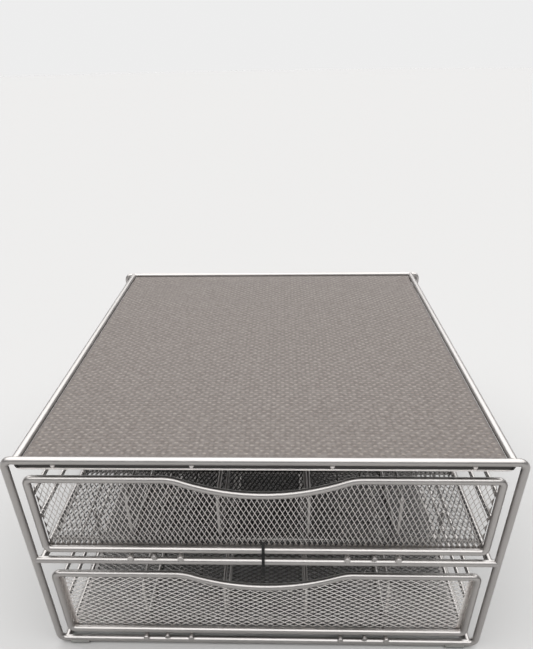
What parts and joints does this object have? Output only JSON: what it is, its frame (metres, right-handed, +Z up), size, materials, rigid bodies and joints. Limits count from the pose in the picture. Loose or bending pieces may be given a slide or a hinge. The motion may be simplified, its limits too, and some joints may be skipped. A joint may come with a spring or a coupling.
{
  "type": "coffee pod drawer",
  "caption": "Tiered coffee pod drawer: a round-wire case with a matted top for a coffee maker, and slide-out mesh trays with divided columns and dipped front rails.",
  "frame": {"origin": "centre of the case's footprint, on the surface it stands on", "axes": "+Z up, +X to the right seen from the front, fronts and drawers face -Y"},
  "size_m": [0.318, 0.3304, 0.177],
  "materials": {
    "wire": "satin silver powder coat",
    "mesh": "satin silver powder coat",
    "sheet": "satin silver powder coat",
    "mat": "matt taupe, finely embossed",
    "foot_rubber": "grey rubber",
    "tie": "black plastic"
  },
  "bodies": {
    "case": {"front_frame": "wire", "rear_frame": "wire", "front_mid_bar": "wire", "rear_mid_bar": "wire", "mid_side_bar_left": "wire", "mid_side_bar_right": "wire", "low_side_bar_left": "wire", "low_side_bar_right": "wire", "rim_wire_left": "wire", "rim_wire_right": "wire", "mid_runners": "wire", "low_runners": "wire", "support_wires": "wire", "top_plate": "sheet", "top_mat": "mat", "foot_front_left": "foot_rubber", "foot_front_right": "foot_rubber", "foot_rear_left": "foot_rubber", "foot_rear_right": "foot_rubber"},
    "lower_drawer": {"lower_front_loop": "wire", "lower_front_mesh": "mesh", "lower_tray_border": "wire", "lower_tray_mesh": "mesh", "lower_cross_wires": "wire", "lower_guide_wires": "wire", "lower_guard_rail_low": "wire", "lower_guard_rail_high": "wire", "lower_guard_posts": "wire", "lower_divider_1": "wire", "lower_divider_2": "wire", "lower_divider_3": "wire", "lower_divider_4": "wire"},
    "upper_drawer": {"upper_front_loop": "wire", "upper_front_mesh": "mesh", "upper_tray_border": "wire", "upper_tray_mesh": "mesh", "upper_cross_wires": "wire", "upper_guide_wires": "wire", "upper_guard_rail_low": "wire", "upper_guard_rail_high": "wire", "upper_guard_posts": "wire", "upper_divider_1": "wire", "upper_divider_2": "wire", "upper_divider_3": "wire", "upper_divider_4": "wire", "packing_tie": "tie"}
  },
  "joints": [
    {"name": "lower_drawer_slide", "type": "slide", "parent": "case", "child": "lower_drawer", "axis": [0, -1, 0], "range_m": [0, 0.26]},
    {"name": "upper_drawer_slide", "type": "slide", "parent": "case", "child": "upper_drawer", "axis": [0, -1, 0], "range_m": [0, 0.26]}
  ]
}
